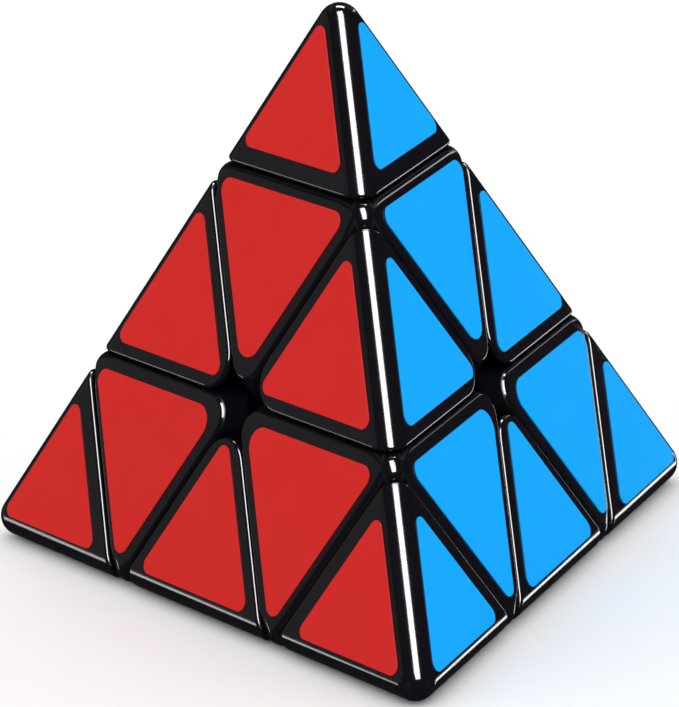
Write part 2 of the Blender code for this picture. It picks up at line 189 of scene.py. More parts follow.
class PuzzleSizes(bpy.types.PropertyGroup):
    """Sizes of the puzzle's rounded edges, in millimetres"""

    outer_radius: bpy.props.FloatProperty(
        name="Outer radius",
        description="Rounding of the pyramid's edges and corners",
        default=2.9,
        min=0.5,
    )
    bump_radius: bpy.props.FloatProperty(
        name="Bump radius",
        description="Rounding of an axial piece's corners under the tip",
        default=2.6,
        min=0.5,
    )
    channel_fillet: bpy.props.FloatProperty(
        name="Channel fillet",
        description="Rounding of the edges along each channel",
        default=0.5,
        min=0.2,
    )
    tip_fillet: bpy.props.FloatProperty(
        name="Tip fillet",
        description="Rounding of a tip's lower edges",
        default=0.5,
        min=0.2,
    )
    shoulder_radius: bpy.props.FloatProperty(
        name="Shoulder radius",
        description="Rounding of an axial piece's edge under the tip",
        default=1.6,
        min=0.5,
    )
    axial_inner_radius: bpy.props.FloatProperty(
        name="Axial inner radius",
        description="Rounding of an axial piece at a face's centre",
        default=3.4,
        min=1.0,
    )
    edge_inner_radius: bpy.props.FloatProperty(
        name="Edge inner radius",
        description="Rounding of an edge piece at a face's centre",
        default=4.6,
        min=1.0,
    )
    chord_error: bpy.props.FloatProperty(
        name="Chord error",
        description="How far a rounding's facets may lie inside it",
        default=0.006,
        min=0.004,
    )


class PuzzleColours(bpy.types.PropertyGroup):
    """Colours of the puzzle's plastic and stickers"""

    plastic: bpy.props.FloatVectorProperty(
        name="Plastic",
        description="Black ABS of the mouldings",
        subtype="COLOR",
        size=4,
        default=hex_colour("#0F0D13"),
    )
    red: bpy.props.FloatVectorProperty(
        name="Red",
        description="Stickers of the left face",
        subtype="COLOR",
        size=4,
        default=hex_colour("#C92723"),
    )
    blue: bpy.props.FloatVectorProperty(
        name="Blue",
        description="Stickers of the right face",
        subtype="COLOR",
        size=4,
        default=hex_colour("#0CA8FC"),
    )
    green: bpy.props.FloatVectorProperty(
        name="Green",
        description="Stickers of the back face",
        subtype="COLOR",
        size=4,
        default=hex_colour("#1FA84A"),
    )
    yellow: bpy.props.FloatVectorProperty(
        name="Yellow",
        description="Stickers of the bottom face",
        subtype="COLOR",
        size=4,
        default=hex_colour("#F7D117"),
    )
    core: bpy.props.FloatVectorProperty(
        name="Core",
        description="Nylon of the core",
        subtype="COLOR",
        size=4,
        default=hex_colour("#E4E2DA"),
    )


# Materials.


def add_node(tree, kind, inputs=None, **settings):
    """Adds one node with its settings; each input is given a value or the socket that feeds it."""
    node = tree.nodes.new(f"ShaderNode{kind}")
    for key, value in settings.items():
        setattr(node, key, value)
    for name, value in (inputs or {}).items():
        if isinstance(value, bpy.types.NodeSocket):
            tree.links.new(value, node.inputs[name])
        else:
            node.inputs[name].default_value = value
    return node


def new_material(name):
    """A material whose nodes are still to be made, and its node tree."""
    material = bpy.data.materials.new(name)
    material.use_nodes = True
    tree = material.node_tree
    tree.nodes.clear()
    return material, tree


def mottling(tree, millimetres, detail=2.0):
    """A random pattern whose blotches are this many millimetres across, fixed to the piece."""
    place = add_node(tree, "TexCoord").outputs["Object"]
    inputs = {"Vector": place, "Scale": 1 / (millimetres * MM), "Detail": detail}
    return add_node(tree, "TexNoise", inputs).outputs["Fac"]


def mottled_skin(tree, pattern, colour, spread, roughness):
    """Base colour and roughness that change a little from place to place with the pattern."""
    ramp = add_node(tree, "ValToRGB", {"Fac": pattern})
    shares = (1 - spread, 1 + spread)
    for element, position, share in zip(ramp.color_ramp.elements, MOTTLING_RANGE, shares):
        element.color = [min(1, channel * share) for channel in colour[:3]] + [1.0]
        element.position = position
    inputs = {"Value": pattern, "From Min": MOTTLING_RANGE[0], "From Max": MOTTLING_RANGE[1]}
    inputs |= {"To Min": roughness[0], "To Max": roughness[1]}
    return {
        "Base Color": ramp.outputs["Color"],
        "Roughness": add_node(tree, "MapRange", inputs).outputs["Result"],
    }


def fine_relief(tree, millimetres, detail, depth, strength):
    """Shading normal of bumps this many millimetres across and deep, at a share of their full effect."""
    inputs = {"Height": mottling(tree, millimetres, detail), "Distance": depth * MM, "Strength": strength}
    return add_node(tree, "Bump", inputs).outputs["Normal"]


def finish_surface(tree, inputs):
    """Gives the material one shader, with these inputs."""
    shader = add_node(tree, "BsdfPrincipled", inputs)
    add_node(tree, "OutputMaterial", {"Surface": shader.outputs["BSDF"]})


def inner_wall(tree):
    """0 on what is seen as the outside of the pyramid and 1 on the walls between its pieces."""
    place = add_node(tree, "TexCoord").outputs["Object"]
    reaches = []
    for corner in AXIS.values():
        inputs = {0: place, 1: [float(-share) for share in corner]}
        reaches.append(add_node(tree, "VectorMath", inputs, operation="DOT_PRODUCT").outputs["Value"])
    # The reaches towards the nearest face and the next one are the largest two of the four.
    first, second = reaches[0], -FACE_DISTANCE * MM
    for reach in reaches[1:]:
        lesser = add_node(tree, "Math", {0: first, 1: reach}, operation="MINIMUM").outputs[0]
        second = add_node(tree, "Math", {0: second, 1: lesser}, operation="MAXIMUM").outputs[0]
        first = add_node(tree, "Math", {0: first, 1: reach}, operation="MAXIMUM").outputs[0]
    shares = []
    for reach, (start, end) in ((first, MATT_DEPTH), (second, MATT_EDGE_DEPTH)):
        depth = add_node(tree, "Math", {0: FACE_DISTANCE * MM, 1: reach}, operation="SUBTRACT").outputs[0]
        inputs = {"Value": depth, "From Min": start * MM, "From Max": end * MM}
        shares.append(add_node(tree, "MapRange", inputs).outputs["Result"])
    return add_node(tree, "Math", dict(enumerate(shares)), operation="MULTIPLY").outputs[0]


def polished_black_abs(colours):
    """Black ABS: deep and glossy outside from a polished mould, and matt inside from a spark-eroded one."""
    material, tree = new_material("polished_black_abs")
    # The mould's slow ripple is at its real size. Its grain, about 0.05 mm, is drawn at 0.4 mm to show.
    surface = mottled_skin(tree, mottling(tree, 9.0), colours.plastic, 0.12, (0.09, 0.13))
    surface["Normal"] = fine_relief(tree, 0.4, 3.0, 0.01, 0.05)
    inside = inner_wall(tree)
    dulled = {0: inside, 1: 0.5, 2: surface["Roughness"]}
    surface["Roughness"] = add_node(tree, "Math", dulled, operation="MULTIPLY_ADD").outputs[0]
    shine = add_node(tree, "Math", {0: inside, 1: -0.6, 2: 0.6}, operation="MULTIPLY_ADD").outputs[0]
    finish_surface(tree, surface | {"Specular IOR Level": shine, "IOR": 1.54})
    return material


def vinyl_film(name, colour):
    """Coloured PVC sticker film: an even colour under a semi-gloss skin, with a slight rolled texture."""
    material, tree = new_material(name)
    # The texture of the rolls, about 0.1 mm, is drawn at 0.5 mm to show.
    surface = mottled_skin(tree, mottling(tree, 5.0), colour, 0.008, (0.17, 0.2))
    surface["Normal"] = fine_relief(tree, 0.5, 2.0, 0.01, 0.04)
    finish_surface(tree, surface | {"IOR": 1.5, "Specular IOR Level": 0.12})
    return material


def moulded_nylon(colours):
    """Natural nylon from a satin mould: off-white with a soft, waxy sheen."""
    material, tree = new_material("moulded_nylon")
    # The satin grain, about 0.1 mm, is drawn at 0.3 mm to show.
    surface = mottled_skin(tree, mottling(tree, 4.0), colours.core, 0.03, (0.38, 0.46))
    surface["Normal"] = fine_relief(tree, 0.3, 3.0, 0.02, 0.12)
    finish_surface(tree, surface | {"IOR": 1.53})
    return material


def zinc_plated_steel():
    """Steel with a bright zinc plate: pale, slightly blue and softly cloudy."""
    material, tree = new_material("zinc_plated_steel")
    # The plate's clouds are at their real size, a little under a millimetre.
    surface = mottled_skin(tree, mottling(tree, 0.9, 3.0), hex_colour("#C3C7CC"), 0.06, (0.24, 0.38))
    finish_surface(tree, surface | {"Metallic": 1.0})
    return material


def drawn_spring_steel():
    """Bare spring wire drawn through a die: darker steel with a fine, worn grain."""
    material, tree = new_material("drawn_spring_steel")
    # The die's marks, a few hundredths of a millimetre, are drawn at 0.25 mm to show.
    surface = mottled_skin(tree, mottling(tree, 0.25, 4.0), hex_colour("#8E9196"), 0.10, (0.28, 0.42))
    surface["Normal"] = fine_relief(tree, 0.25, 4.0, 0.01, 0.2)
    finish_surface(tree, surface | {"Metallic": 1.0})
    return material


def material_named(name, colours):
    """The named material, made the first time that it is asked for."""
    if name in bpy.data.materials:
        return bpy.data.materials[name]
    makers = {
        "polished_black_abs": lambda: polished_black_abs(colours),
        "moulded_nylon": lambda: moulded_nylon(colours),
        "zinc_plated_steel": zinc_plated_steel,
        "drawn_spring_steel": drawn_spring_steel,
    }
    if name in makers:
        return makers[name]()
    return vinyl_film(name, getattr(colours, name.split("_")[0]))


# Rounded mouldings: each is the hull of balls that touch its planes from behind, so that its roundings are
# true arcs. A plane is an (outward normal, distance from the centre) pair.


def unit(vector):
    return vector / np.linalg.norm(vector)


def angle_between(a, b):
    return math.acos(np.clip(a @ b, -1, 1))


def slerp(a, b, share):
    angle = angle_between(a, b)
    return (math.sin((1 - share) * angle) * a + math.sin(share * angle) * b) / math.sin(angle)


def arc_directions(a, b, steps):
    return [slerp(a, b, k / steps) for k in range(steps + 1)]


def arc_steps(a, b, radius, sizes):
    """How many straight steps keep the arc from one normal to another within the chord error."""
    return max(2, round(angle_between(a, b) / math.sqrt(8 * sizes.chord_error / radius)))


def fan(a, b, c, steps):
    """Directions that fill the triangle between three normals, with clean arcs along its sides."""
    directions = [a]
    for row in range(1, steps + 1):
        start, end = slerp(a, b, row / steps), slerp(a, c, row / steps)
        directions += arc_directions(start, end, row)
    return directions


def centre_behind(planes, radius):
    """Centre of the ball that touches these planes from behind; the one nearest the origin if many do."""
    normals = np.array([normal for normal, _ in planes])
    distances = np.array([distance for _, distance in planes])
    return np.linalg.lstsq(normals, distances - radius, rcond=None)[0]


def ball_points(centre, radius, directions):
    return [centre + radius * direction for direction in directions]


def rolled_rim(first, second, radius, end, fillet, sizes):
    """A fillet rolled along the end plane, round the bar that rounds the edge between two planes."""
    (a, _), (b, _), (end_normal, end_distance) = first, second, end
    along = unit(np.cross(a, b))
    middle = centre_behind((first, second), radius)
    steps = arc_steps(a, end_normal, fillet, sizes)
    points = []
    for out in arc_directions(a, b, arc_steps(a, b, radius, sizes)):
        centre = middle + (radius - fillet) * out
        centre += along * (end_distance - fillet - end_normal @ centre) / (end_normal @ along)
        points += ball_points(centre, fillet, arc_directions(out, end_normal, steps))
    return points


def hull(points):
    """Bmesh of the convex hull of some points in millimetres, with its flats left whole."""
    shape = bmesh.new()
    flat = math.radians(0.3)
    for point in np.unique(np.round(points, decimals=5), axis=0):
        shape.verts.new(point * MM)
    made = bmesh.ops.convex_hull(shape, input=shape.verts)
    inner = [item for item in made["geom_interior"] if isinstance(item, bmesh.types.BMVert)]
    bmesh.ops.delete(shape, geom=inner, context="VERTS")
    bmesh.ops.dissolve_limit(shape, angle_limit=flat, verts=shape.verts, edges=shape.edges)
    return shape


def face_plane(opposite):
    return (-AXIS[opposite], FACE_DISTANCE)


def above(corner, height):
    """The plane that bounds what lies farther than this height along a corner's axis."""
    return (-AXIS[corner], -height)


def below(corner, height):
    """The plane that bounds what lies nearer than this height along a corner's axis."""
    return (AXIS[corner], height)


# Turned solids, about a corner's axis.


def seat_rotation(first, second=None):
    """The rotation that carries the top corner to the first one and the front corner to the second."""
    if second is None:
        second = "front" if first == "top" else "top"
    before = [AXIS["top"], AXIS["front"], np.cross(AXIS["top"], AXIS["front"])]
    after = [AXIS[first], AXIS[second], np.cross(AXIS[first], AXIS[second])]
    return Matrix((np.array(after).T @ np.linalg.inv(np.array(before).T)).tolist())


def turned(profile, segments=48, axis="top", bulge=None):
    """Bmesh of a closed profile of (radius, height) points spun about a corner's axis.

    A bulge function gives what is added to the radius at an angle and a height.
    """
    shape = bmesh.new()
    turn = np.array(seat_rotation(axis))
    rings = []
    for radius, height in profile:
        if radius == 0:
            rings.append([shape.verts.new(turn @ (0, 0, height * MM))])
            continue
        ring = []
        for k in range(segments):
            angle = 2 * math.pi * (k + 0.5) / segments
            reach = radius + (bulge(angle, height) if bulge else 0)
            spot = np.array((reach * math.cos(angle), reach * math.sin(angle), height))
            ring.append(shape.verts.new(turn @ spot * MM))
        rings.append(ring)
    for lower, upper in zip(rings, rings[1:] + rings[:1]):
        if len(lower) == len(upper) == 1:
            continue
        for k in range(segments):
            after = (k + 1) % segments
            corners = [lower[k % len(lower)], lower[after % len(lower)]]
            corners += [upper[after % len(upper)], upper[k % len(upper)]]
            shape.faces.new(list(dict.fromkeys(corners)))
    bmesh.ops.recalc_face_normals(shape, faces=shape.faces)
    return shape


def arc(centre, radius, start, end, steps=6):
    """Points (radius, height) of an arc in a turned profile, its angles counted from the axis."""
    points = []
    for k in range(steps + 1):
        angle = math.radians(start + (end - start) * k / steps)
        points.append((centre[0] + radius * math.sin(angle), centre[1] + radius * math.cos(angle)))
    return points


def ball(radius, steps=28):
    middle = arc((0, 0), radius, 180 - 180 / steps, 180 / steps, steps - 2)
    return turned([(0, -radius), *middle, (0, radius)], 2 * steps)


def layer_reach(corner, grow):
    """What a layer sweeps inside the shell: a wide cone about its axis, grown by a clearance."""
    apex = -grow / math.sin(SHELL_CONE)
    rim, rise = SWEEP_RADIUS * math.sin(SHELL_CONE), apex + SWEEP_RADIUS * math.cos(SHELL_CONE)
    profile = [(0, apex), (rim, rise), (rim, SWEEP_RADIUS), (0, SWEEP_RADIUS)]
    return turned(profile, segments=96, axis=corner)


# Pieces as objects.


def made_object(name, shape):
    mesh = bpy.data.meshes.new(name)
    shape.to_mesh(mesh)
    shape.free()
    made = bpy.data.objects.new(name, mesh)
    bpy.context.scene.collection.objects.link(made)
    return made


def taken_shape(helper):
    """The helper's mesh as a bmesh; the helper itself is removed."""
    shape = bmesh.new()
    shape.from_mesh(helper.data)
    mesh = helper.data
    bpy.data.objects.remove(helper)
    bpy.data.meshes.remove(mesh)
    return shape


def carve(piece, shape, operation="DIFFERENCE"):
    """Applies one Boolean to the piece's mesh and throws the tool away."""
    tool = made_object("tool", shape)
    modifier = piece.modifiers.new("carve", "BOOLEAN")
    modifier.object = tool
    modifier.operation = operation
    graph = bpy.context.evaluated_depsgraph_get()
    result = bpy.data.meshes.new_from_object(piece.evaluated_get(graph))
    piece.modifiers.remove(modifier)
    before = piece.data
    piece.data = result
    bpy.data.meshes.remove(before)
    taken_shape(tool).free()


def smooth(mesh, sharp_degrees=38):
    mesh.shade_smooth()
    mesh.set_sharp_from_angle(angle=math.radians(sharp_degrees))


def seat_copy(pattern, name, rotation, body, material, node):
    """One seated copy of a pattern, standing for its CAD node."""
    piece = bpy.data.objects.new(name, pattern.data.copy())
    bpy.context.scene.collection.objects.link(piece)
    piece.data.transform(rotation.to_4x4())
    piece.data.materials.clear()
    piece.data.materials.append(material)
    weighting = piece.modifiers.new("even_shading", "WEIGHTED_NORMAL")
    weighting.keep_sharp = True
    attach(piece, body)
    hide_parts(node)


def seat_on_corners(pattern, kind, material, on_core=False):
    """One copy of a pattern at each corner, in that corner's own body or in the core's."""
    for corner in AXIS:
        body = "core_unit" if on_core else f"{kind}_unit_{corner}"
        node = f"{kind}_{corner}"
        seat_copy(pattern, f"{node}_moulding", seat_rotation(corner), body, material, node)
    bpy.data.objects.remove(pattern)


# The mouldings.


def tip_pattern(sizes):
    """The top corner's tip, with the stem that snaps into the axial piece's groove."""
    sides = [face_plane(opposite) for opposite in LOWER_CORNERS]
    normals = [normal for normal, _ in sides]
    steps = arc_steps(normals[0], normals[1], sizes.outer_radius, sizes)
    apex = centre_behind(sides, sizes.outer_radius)
    points = ball_points(apex, sizes.outer_radius, fan(*normals, steps))
    bottom = above("top", TIP_CUT + GAP / 2)
    for a, b in combinations(sides, 2):
        points += rolled_rim(a, b, sizes.outer_radius, bottom, sizes.tip_fillet, sizes)
    tip = made_object("tip_pattern", hull(points))
    low, high = GROOVE_LOW + GAP, GROOVE_HIGH - GAP
    stem = [(0, STEM_BOTTOM), (STEM_RADIUS - STEM_CHAMFER, STEM_BOTTOM)]
    stem += [(STEM_RADIUS, STEM_BOTTOM + STEM_CHAMFER), (STEM_RADIUS, low - STEM_BEAD_RAMP)]
    stem += [(STEM_BEAD_RADIUS, low), (STEM_BEAD_RADIUS, high)]
    stem += [(STEM_RADIUS, high + STEM_BEAD_RAMP), (STEM_RADIUS, STEM_TOP), (0, STEM_TOP)]
    carve(tip, turned(stem), "UNION")
    bore = [(0, STEM_BOTTOM - OVERSHOOT), (STEM_BORE_RADIUS, STEM_BOTTOM - OVERSHOOT)]
    bore += [(STEM_BORE_RADIUS, STEM_BORE_TOP), (0, STEM_BORE_TOP + STEM_BORE_POINT)]
    carve(tip, turned(bore))
    smooth(tip.data)
    return tip


def bump_points(sides, top, cut, sizes):
    """An axial's corner between the tip and an edge piece: a ball, and where each of its edges runs out."""
    (a, distance_a), (b, distance_b) = sides
    radius = sizes.bump_radius
    normals = np.array((top[0], cut[0], a - b))
    centre = np.linalg.solve(normals, (top[1] - radius, cut[1] - radius, distance_a - distance_b))
    steps = arc_steps(a, top[0], radius, sizes)
    points = ball_points(centre, radius, fan(top[0], a, b, steps) + fan(cut[0], a, b, steps))
    inward = AXIS["top"] * (LAYER_CUT + TIP_CUT) / 2 - centre
    for side in sides:
        for plane, fillet in ((top, sizes.shoulder_radius), (cut, sizes.channel_fillet)):
            along = unit(np.cross(side[0], plane[0]))
            along *= np.sign(along @ inward)
            start = centre_behind((side, plane), fillet) + along * (along @ centre + BUMP_REACH)
            edge_steps = arc_steps(side[0], plane[0], fillet, sizes)
            points += ball_points(start, fillet, arc_directions(side[0], plane[0], edge_steps))
    return points


def axial_pattern(sizes):
    """The top corner's axial piece: a rounded block, hollow below, with its neck and well."""
    top, bottom = below("top", TIP_CUT - GAP / 2), above("top", LAYER_CUT + GAP / 2)
    points = []
    for corner in LOWER_CORNERS:
        others = [name for name in LOWER_CORNERS if name != corner]
        cuts = [below(name, LAYER_CUT - GAP / 2) for name in others]
        for end in (face_plane(corner), bottom):
            points += rolled_rim(*cuts, sizes.axial_inner_radius, end, sizes.channel_fillet, sizes)
        sides = [face_plane(name) for name in others]
        points += bump_points(sides, top, below(corner, LAYER_CUT - GAP / 2), sizes)
    axial = made_object("axial_pattern", hull(points))
    carve(axial, ball(SHELL_RADIUS + GAP / 2))
    carve(axial, turned(neck_profile()), "UNION")
    carve(axial, turned(well_profile()))
    smooth(axial.data)
    return axial


def neck_profile():
    """The axial's neck, which stays outside the cones that the three other layers sweep."""
    slope = math.acos(-1 / 3) - SHELL_CONE

    def reach(height):
        return height * math.tan(slope) - GAP / 2 / math.cos(slope)

    profile = [(0, NECK_BOTTOM), (reach(NECK_BOTTOM), NECK_BOTTOM), (reach(NECK_SHOULDER), NECK_SHOULDER)]
    return profile + [(reach(NECK_SHOULDER), NECK_TOP), (0, NECK_TOP)]


def well_profile():
    """The axial's inside: the seat round the core, the arm's bore, the screw web, the well and its groove."""
    bore = ARM_RADIUS + GAP
    meets = math.degrees(math.asin(bore / FOOT_INNER_RADIUS))
    seat = arc((0, 0), FOOT_INNER_RADIUS, SEAT_ANGLE, meets, steps=12)
    profile = [(0, seat[0][1]), *seat, (bore, WEB_BOTTOM), (WEB_HOLE_RADIUS, WEB_BOTTOM)]
    profile += [(WEB_HOLE_RADIUS, WEB_TOP), (WELL_RADIUS, WEB_TOP), (WELL_RADIUS, GROOVE_LOW - GROOVE_RAMP)]
    profile += [(GROOVE_RADIUS, GROOVE_LOW), (GROOVE_RADIUS, GROOVE_HIGH)]
    profile += [(WELL_RADIUS, GROOVE_HIGH + GROOVE_RAMP), (WELL_RADIUS, TIP_CUT - WELL_MOUTH_CHAMFER)]
    mouth_top = TIP_CUT + OVERSHOOT
    profile += [(WELL_RADIUS + WELL_MOUTH_CHAMFER + OVERSHOOT, mouth_top), (0, mouth_top)]
    return profile


def edge_pattern(sizes):
    """The edge piece between the top and front corners, with its foot."""
    sides = [face_plane(opposite) for opposite in ("right", "left")]
    cuts = [above(corner, LAYER_CUT + GAP / 2) for corner in ("top", "front")]
    points = []
    for cut in cuts:
        points += rolled_rim(*sides, sizes.outer_radius, cut, sizes.channel_fillet, sizes)
    for side in sides:
        points += rolled_rim(*cuts, sizes.edge_inner_radius, side, sizes.channel_fillet, sizes)
    edge = made_object("edge_pattern", hull(points))
    carve(edge, foot_shape(), "UNION")
    smooth(edge.data)
    return edge


def shell_patch(inner, outer, reach_along, reach_across):
    """Block between two spheres, about the middle of the edge from top to front."""
    middle = unit(AXIS["top"] + AXIS["front"])
    across = unit(AXIS["top"] - AXIS["front"])
    along = np.cross(middle, across)
    count_along, count_across = FOOT_STEPS
    shape = bmesh.new()

    def sheet(radius):
        rows = []
        for a in np.linspace(-reach_along, reach_along, count_along + 1):
            row = []
            for c in np.linspace(-reach_across, reach_across, count_across + 1):
                spot = math.cos(c) * (math.cos(a) * middle + math.sin(a) * along)
                row.append(shape.verts.new((spot + math.sin(c) * across) * radius * MM))
            rows.append(row)
        return rows

    sheets = sheet(inner), sheet(outer)
    for rows in sheets:
        for row, after in zip(rows, rows[1:]):
            for k in range(count_across):
                shape.faces.new((row[k], row[k + 1], after[k + 1], after[k]))
    rims = []
    for rows in sheets:
        ends = [row[-1] for row in rows[1:-1]]
        starts = [row[0] for row in rows[-2:0:-1]]
        rims.append(rows[0] + ends + rows[-1][::-1] + starts)
    for k in range(len(rims[0])):
        shape.faces.new((rims[0][k - 1], rims[0][k], rims[1][k], rims[1][k - 1]))
    bmesh.ops.recalc_face_normals(shape, faces=shape.faces)
    return shape


def foot_shape():
    """The foot that the neighbouring axial pieces hold down, between the core and their skirts."""
    block = shell_patch(FOOT_INNER_RADIUS, SHELL_RADIUS - GAP / 2, *FOOT_ANGLES)
    foot = made_object("foot", block)
    for corner in ("top", "front"):
        carve(foot, layer_reach(corner, -GAP / 2), "INTERSECT")
    for corner in ("right", "left"):
        carve(foot, layer_reach(corner, GAP / 2))
    return taken_shape(foot)


def core_pattern():
    """The ball in the middle, with four arms that flare into it and are bored for the screws."""
    core = made_object("core_pattern", ball(CORE_RADIUS))
    flare = arc((ARM_RADIUS + ARM_FLARE, ARM_FLARE_TOP), ARM_FLARE, *ARM_FLARE_ANGLES)
    arm = [(0, ARM_ROOT_BOTTOM), (ARM_ROOT_RADIUS, ARM_ROOT_BOTTOM), *flare]
    arm += [(ARM_RADIUS, ARM_END - ARM_CHAMFER), (ARM_RADIUS - ARM_CHAMFER, ARM_END), (0, ARM_END)]
    hole_top = ARM_END + OVERSHOOT
    hole = [(0, SCREW_HOLE_BOTTOM), (SCREW_HOLE_RADIUS, SCREW_HOLE_BOTTOM)]
    hole += [(SCREW_HOLE_RADIUS, ARM_END - ARM_CHAMFER)]
    hole += [(SCREW_HOLE_RADIUS + ARM_CHAMFER + OVERSHOOT, hole_top), (0, hole_top)]
    for corner in AXIS:
        carve(core, turned(arm, axis=corner), "UNION")
    for corner in AXIS:
        carve(core, turned(hole, segments=32, axis=corner))
    smooth(core.data)
    return core


def screw_pattern():
    """Pan-head screw with a rolled thread, a cross slot and its washer."""
    thread_low = SCREW_TIP + SCREW_TIP_CHAMFER
    steps_per_pitch = 10

    def thread(angle, height):
        if not thread_low < height < SCREW_THREAD_TOP:
            return 0
        turn = (height / SCREW_PITCH - angle / (2 * math.pi)) % 1
        return -SCREW_THREAD_DEPTH * min(1, abs(2 * turn - 1) * SCREW_THREAD_SHARPNESS)

    count = int((SCREW_THREAD_TOP - thread_low) / SCREW_PITCH * steps_per_pitch)
    profile = [(0, SCREW_TIP), (SCREW_RADIUS - SCREW_TIP_CHAMFER, SCREW_TIP)]
    for k in range(count + 1):
        profile.append((SCREW_RADIUS, thread_low + (SCREW_THREAD_TOP - thread_low) * k / count))
    washer_top = WASHER_LOW + WASHER_THICKNESS
    profile += [(SCREW_RADIUS, WASHER_LOW), (WASHER_RADIUS - WASHER_CHAMFER, WASHER_LOW)]
    profile += [(WASHER_RADIUS, WASHER_LOW + WASHER_CHAMFER), (WASHER_RADIUS, washer_top - WASHER_CHAMFER)]
    profile += [(WASHER_RADIUS - WASHER_CHAMFER, washer_top), (SCREW_HEAD_RADIUS, washer_top)]
    rounding = (SCREW_HEAD_RADIUS - SCREW_HEAD_ROUNDING, SCREW_HEAD_HIGH - SCREW_HEAD_ROUNDING)
    profile += [(SCREW_HEAD_RADIUS, rounding[1]), *arc(rounding, SCREW_HEAD_ROUNDING, 90, 0)]
    profile += [(0, SCREW_HEAD_HIGH)]
    screw = made_object("screw_pattern", turned(profile, segments=32, bulge=thread))
    for half_x, half_y in ((SLOT_HALF_LENGTH, SLOT_HALF_WIDTH), (SLOT_HALF_WIDTH, SLOT_HALF_LENGTH)):
        corners = []
        for x in (-half_x, half_x):
            for y in (-half_y, half_y):
                corners.append((x, y, SCREW_HEAD_HIGH + SLOT_LEAD))
                corners.append((x * SLOT_TAPER[0], y * SLOT_TAPER[1], SCREW_HEAD_HIGH - SLOT_DEPTH))
        carve(screw, hull(corners))
    smooth(screw.data, sharp_degrees=30)
    return screw


def spring_pattern():
    """A round wire wound up the screw's shank, with its end turns closed up."""
    sides, per_turn = 12, 28
    low, high = SPRING_LOW + SPRING_WIRE_RADIUS, SPRING_HIGH - SPRING_WIRE_RADIUS
    count = int(SPRING_TURNS * per_turn)
    closed_share = 1 / SPRING_TURNS
    shape = bmesh.new()
    rings = []
    for k in range(count + 1):
        share = k / count
        free = np.clip((share - closed_share) / (1 - 2 * closed_share), 0, 1)
        closed = (min(share, closed_share) + max(share - 1 + closed_share, 0)) * SPRING_TURNS
        rise = low + closed * SPRING_CLOSED_PITCH + free * (high - low - 2 * SPRING_CLOSED_PITCH)
        angle = 2 * math.pi * k / per_turn
        out = np.array((math.cos(angle), math.sin(angle), 0))
        ring = []
        for side in range(sides):
            turn = 2 * math.pi * side / sides
            spot = out * (SPRING_RADIUS + SPRING_WIRE_RADIUS * math.cos(turn))
            spot[2] = rise + SPRING_WIRE_RADIUS * math.sin(turn)
            ring.append(shape.verts.new(spot * MM))
        rings.append(ring)
    for before, after in zip(rings, rings[1:]):
        for side in range(sides):
            shape.faces.new((before[side - 1], before[side], after[side], after[side - 1]))
    shape.faces.new(rings[0])
    shape.faces.new(rings[-1])
    bmesh.ops.recalc_face_normals(shape, faces=shape.faces)
    spring = made_object("spring_pattern", shape)
    smooth(spring.data)
    return spring


# Stickers: a rounded triangle on one face, between three lines given as (towards corner, sign, distance).


def sticker_shape(opposite, lines, radii):
    """The film's hull, with its upper edge eased a little."""
    normal = -AXIS[opposite]
    towards = {}
    for corner in AXIS:
        if corner != opposite:
            towards[corner] = unit(AXIS[corner] - normal * (AXIS[corner] @ normal))
    sides = [(sign * towards[corner], sign * distance) for corner, sign, distance in lines]
    ease = 0.04
    steps = 14
    points = []
    for (first, second), radius in zip(combinations(range(3), 2), radii):
        (a, distance_a), (b, distance_b) = sides[first], sides[second]
        aim = (distance_a - radius, distance_b - radius, 0)
        centre = np.linalg.solve(np.array((a, b, normal)), aim)
        for k in range(steps + 1):
            out = slerp(a, b, k / steps)
            points.append(centre + out * radius + normal * STICKER_BOTTOM)
            points.append(centre + out * radius + normal * (STICKER_TOP - ease))
            points.append(centre + out * (radius - ease) + normal * STICKER_TOP)
    return hull(points)


def tip_sticker(opposite):
    rest = [corner for corner in AXIS if corner not in ("top", opposite)]
    lines = [("top", -1, FACE_HEIGHT / 3 + TIP_STICKER["cut"])]
    lines += [(corner, -1, -FACE_HEIGHT / 3 + TIP_STICKER["outer"]) for corner in rest]
    return sticker_shape(opposite, lines, [TIP_STICKER["corner"]] * 3)


def axial_sticker(opposite):
    rest = [corner for corner in AXIS if corner not in ("top", opposite)]
    lines = [("top", 1, FACE_HEIGHT / 3 - AXIAL_STICKER["tip"])]
    lines += [(corner, 1, -AXIAL_STICKER["cut"]) for corner in rest]
    corner = AXIAL_STICKER["corner"]
    return sticker_shape(opposite, lines, [corner, corner, AXIAL_STICKER["inner_corner"]])


def edge_sticker(opposite):
    third_corner = "left" if opposite == "right" else "right"
    lines = [(corner, -1, EDGE_STICKER["cut"]) for corner in ("top", "front")]
    lines.append((third_corner, -1, -FACE_HEIGHT / 3 + EDGE_STICKER["outer"]))
    return sticker_shape(opposite, lines, [EDGE_STICKER["corner"]] * 3)


def seat_stickers(colours, kind, seats, opposites, shape_of):
    """One sticker on each outer face of each piece, coloured for the face that it is seated on."""
    for opposite in opposites:
        pattern = made_object("sticker_pattern", shape_of(opposite))
        smooth(pattern.data, sharp_degrees=30)
        for name, rotation in seats:
            aim = np.array(rotation) @ AXIS[opposite]
            colour = FACE_COLOUR[max(AXIS, key=lambda corner: AXIS[corner] @ aim)]
            node = f"{colour}_{kind}_{name}"
            film = material_named(f"{colour}_vinyl_film", colours)
            body = f"{kind}_unit_{name}"
            seat_copy(pattern, f"{node}_sticker", rotation, body, film, node)
        bpy.data.objects.remove(pattern)


# The studio, in metres.

